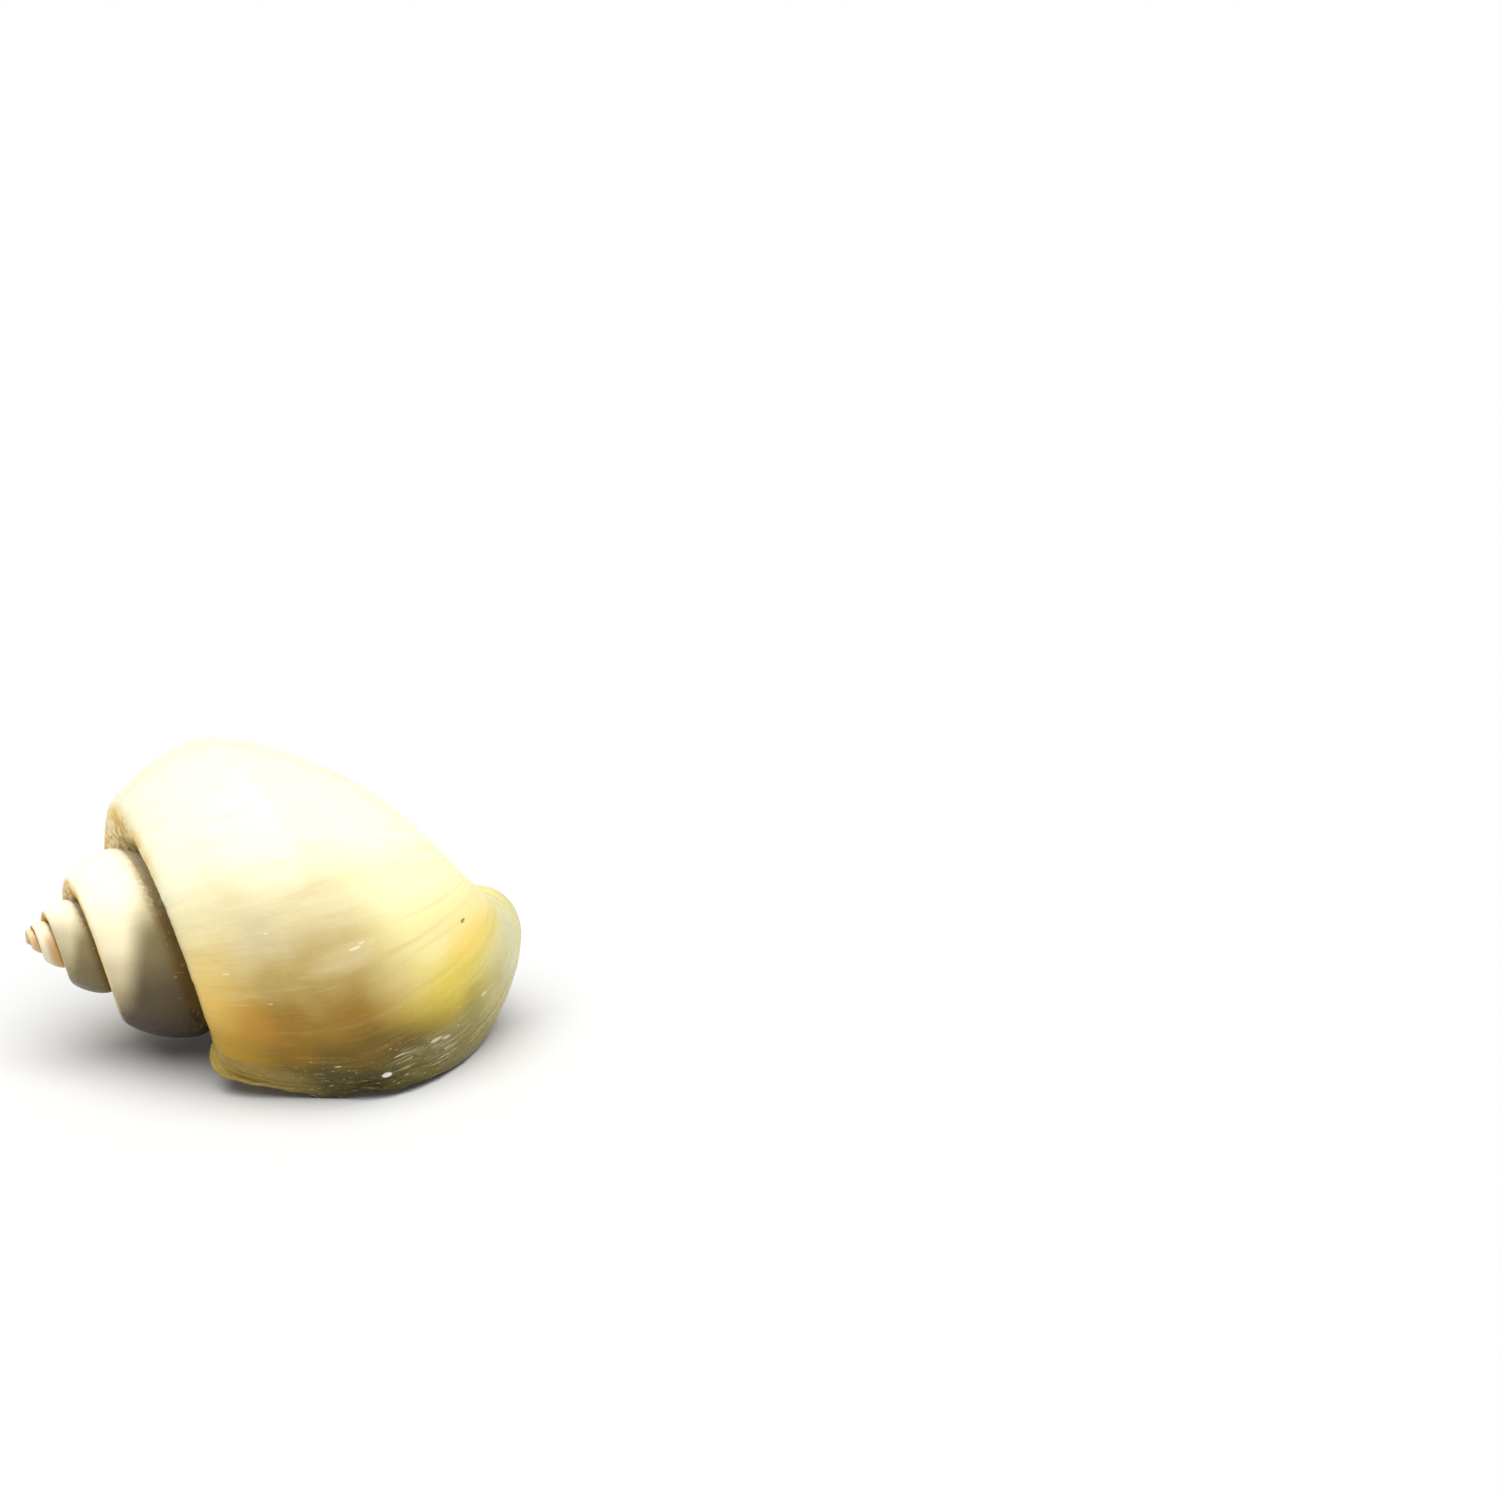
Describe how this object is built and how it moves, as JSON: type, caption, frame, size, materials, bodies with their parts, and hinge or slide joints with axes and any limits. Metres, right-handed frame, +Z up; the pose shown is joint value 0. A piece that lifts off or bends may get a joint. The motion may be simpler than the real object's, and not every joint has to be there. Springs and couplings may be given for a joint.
{
  "type": "apple snail",
  "caption": "Life-size apple snail at rest, its ivory spiral shell standing on the outer lip, with foot, head, feelers and horny lid drawn in beneath and behind it.",
  "frame": {"origin": "on the floor, under the centre of the whole animal's box", "axes": "+Z up, +X along the shell from its apex towards its base and the head end, -Y towards the outer side of the last whorl, where the outer lip stands on the floor"},
  "size_m": [0.0492, 0.0414, 0.0328],
  "materials": {
    "shell": "glossy ivory shell, cream above and yellow to brown below, with fine growth lines and stained seams",
    "shell_lip": "thin new shell at the lip, pale olive and slightly translucent, with whitish growth lines",
    "flesh": "moist, soft, pale cream skin with fine yellow-orange speckles",
    "operculum": "thin brown horn with concentric growth rings",
    "eye": "dark, wet and shiny"
  },
  "bodies": {
    "root": {"shell_apex": "shell", "shell_upper_spire": "shell", "shell_penultimate_whorl": "shell", "shell_body_whorl": "shell", "shell_outer_lip": "shell_lip", "shell_inner_lip": "shell_lip", "mantle": "flesh", "mantle_edge": "flesh", "neck": "flesh", "foot_rear": "flesh", "foot_middle": "flesh", "foot_front": "flesh", "head": "flesh", "snout": "flesh", "palp_left": "flesh", "palp_right": "flesh", "tentacle_left_base": "flesh", "tentacle_left_tip": "flesh", "tentacle_right_base": "flesh", "tentacle_right_tip": "flesh", "eye_stalk_left": "flesh", "eye_stalk_right": "flesh", "siphon": "flesh", "eye_left": "eye", "eye_right": "eye", "operculum": "operculum"}
  },
  "joints": []
}
